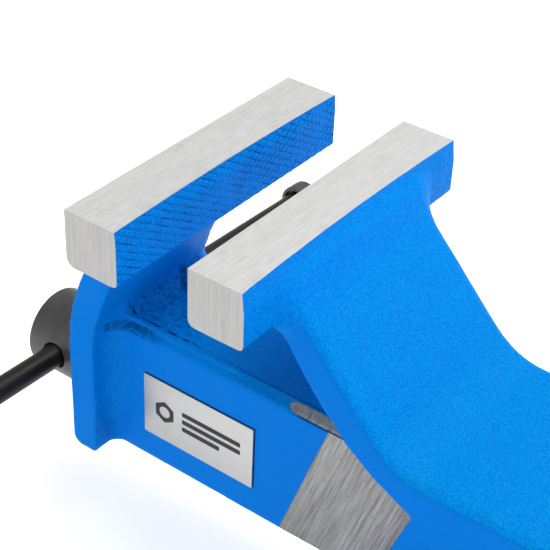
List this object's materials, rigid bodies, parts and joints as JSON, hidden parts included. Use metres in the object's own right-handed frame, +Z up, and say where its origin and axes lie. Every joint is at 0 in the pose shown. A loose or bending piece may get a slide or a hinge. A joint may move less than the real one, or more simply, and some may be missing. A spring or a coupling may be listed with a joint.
{
  "type": "bench vise",
  "caption": "Bench vise with a box slide, a dished rear arm over the slide, integral ground jaws, a spindle with a sliding T-handle, and a clamped swivel base.",
  "frame": {"origin": "centre of the swivel base's underside, on the swivel axis", "axes": "+Z up, -Y towards the operator and the handle, +X the nameplate side"},
  "size_m": [0.3154, 0.404, 0.215],
  "materials": {
    "painted_casting": "satin paint over a cast grain, jaws ground bright",
    "name_metal": "blank sheet, fine brushed",
    "black_oxide": "turned and blacked",
    "bare_steel": "turned bright",
    "zinc_plate": "zinc plated",
    "nut_bronze": "machined bronze"
  },
  "bodies": {
    "base": {"swivel_base": "painted_casting"},
    "body": {"static_body": "painted_casting", "spindle_nut": "nut_bronze", "nut_screws": "black_oxide", "nut_screw_washers": "bare_steel", "pivot_bolt": "zinc_plate", "pivot_washer": "zinc_plate", "clamp_bolts": "zinc_plate", "clamp_washers": "zinc_plate"},
    "slide": {"moving_jaw": "painted_casting", "nameplate": "name_metal", "thrust_washer": "bare_steel"},
    "screw": {"spindle": "black_oxide", "retainer_spring": "bare_steel", "spring_washer": "bare_steel", "cotter_pin": "bare_steel"},
    "handle": {"handle_bar": "black_oxide", "handle_cap_left": "black_oxide", "handle_cap_right": "black_oxide"},
    "clamp_left": {"clamp_nut_left": "black_oxide", "clamp_handle_left": "black_oxide"},
    "clamp_right": {"clamp_nut_right": "black_oxide", "clamp_handle_right": "black_oxide"}
  },
  "joints": [
    {"name": "swivel_turn", "type": "hinge", "parent": "base", "child": "body", "pos_m": [0, 0, 0.02], "axis": [0, 0, 1], "continuous": true},
    {"name": "jaw_slide", "type": "slide", "parent": "body", "child": "slide", "axis": [0, -1, 0], "range_m": [-0.0364, 0.113]},
    {"name": "spindle_turn", "type": "hinge", "parent": "slide", "child": "screw", "pos_m": [0, -0.25, 0.073], "axis": [0, -1, 0], "range_deg": [-2620, 8130]},
    {"name": "handle_slide", "type": "slide", "parent": "screw", "child": "handle", "axis": [0.9993, 0, 0.0366], "range_m": [-0.07, 0.16]},
    {"name": "clamp_left_turn", "type": "hinge", "parent": "body", "child": "clamp_left", "pos_m": [-0.066, 0, 0.05], "axis": [0, 0, 1], "range_deg": [0, 100]},
    {"name": "clamp_right_turn", "type": "hinge", "parent": "body", "child": "clamp_right", "pos_m": [0.066, 0, 0.05], "axis": [0, 0, 1], "range_deg": [0, 100]}
  ],
  "couplings": [
    {"joint": "jaw_slide", "follows": "spindle_turn", "m_per_rad": 0.00079577}
  ]
}
